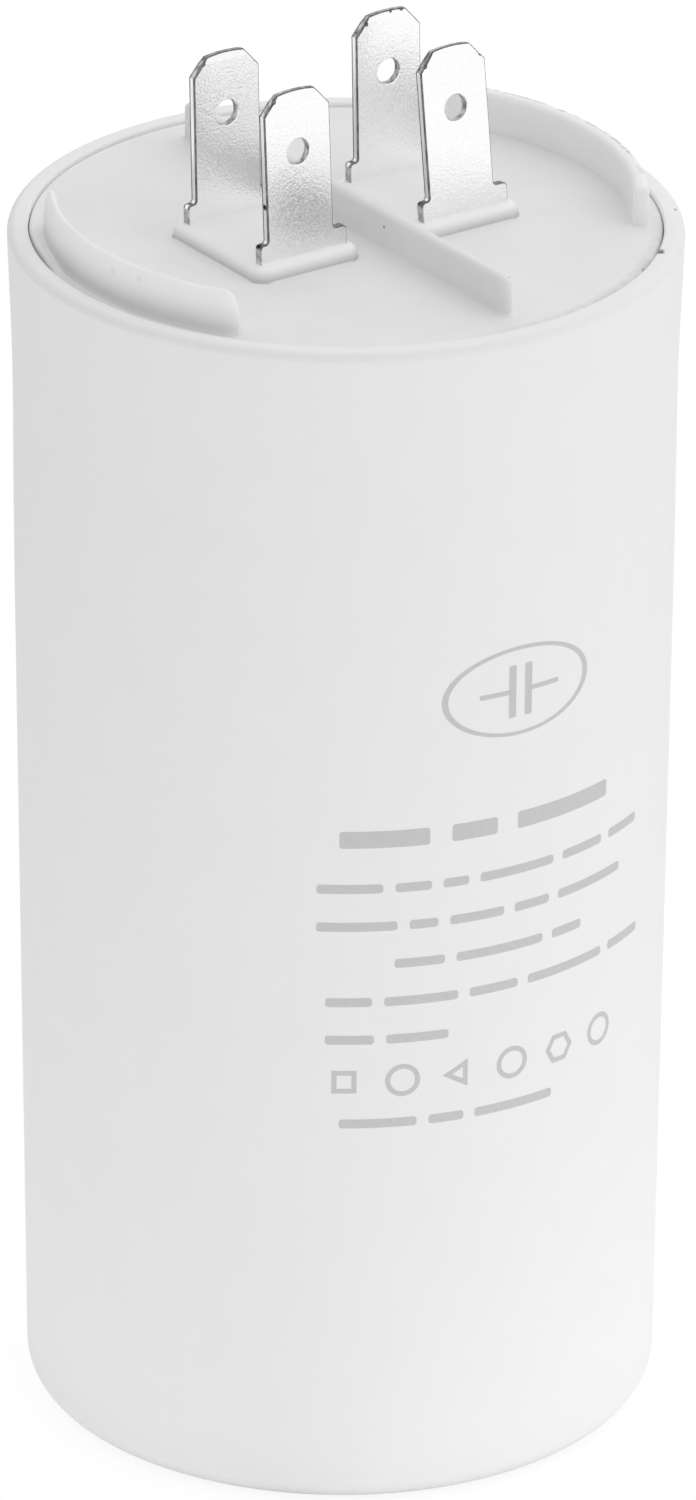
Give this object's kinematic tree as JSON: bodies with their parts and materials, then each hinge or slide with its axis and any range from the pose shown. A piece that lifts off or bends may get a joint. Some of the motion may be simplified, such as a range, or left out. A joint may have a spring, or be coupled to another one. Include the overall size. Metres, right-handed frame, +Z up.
{
  "type": "motor capacitor",
  "caption": "Round white plastic motor capacitor: a moulded cup closed by a lid with a central barrier and paired push-on tab terminals.",
  "frame": {"origin": "centre of the base, on the surface that the capacitor stands on", "axes": "+Z up along the can's axis; +X across the tabs, from the left terminal to the right one; +Y from the front tabs to the back tabs"},
  "size_m": [0.055, 0.055, 0.1186],
  "materials": {
    "case_plastic": "satin white moulding",
    "lid_plastic": "satin white moulding",
    "tinned_tab": "bright tin plate with fine pitting",
    "film": "wound metallised film",
    "core_plastic": "plain tube",
    "wrap_tape": "clear amber tape",
    "sprayed_metal": "rough sprayed zinc",
    "lead_wire": "drawn wire",
    "sleeve": "plain sleeve",
    "solder": "dull solder",
    "resin": "cured resin"
  },
  "bodies": {
    "root": {"case": "case_plastic", "lid": "lid_plastic", "left_terminal": "tinned_tab", "right_terminal": "tinned_tab", "film_winding": "film", "core_tube": "core_plastic", "outer_wrap": "wrap_tape", "upper_spray": "sprayed_metal", "lower_spray": "sprayed_metal", "short_lead": "lead_wire", "long_lead": "lead_wire", "lead_sleeve": "sleeve", "upper_solder": "solder", "lower_solder": "solder", "left_solder": "solder", "right_solder": "solder", "potting": "resin"}
  },
  "joints": []
}
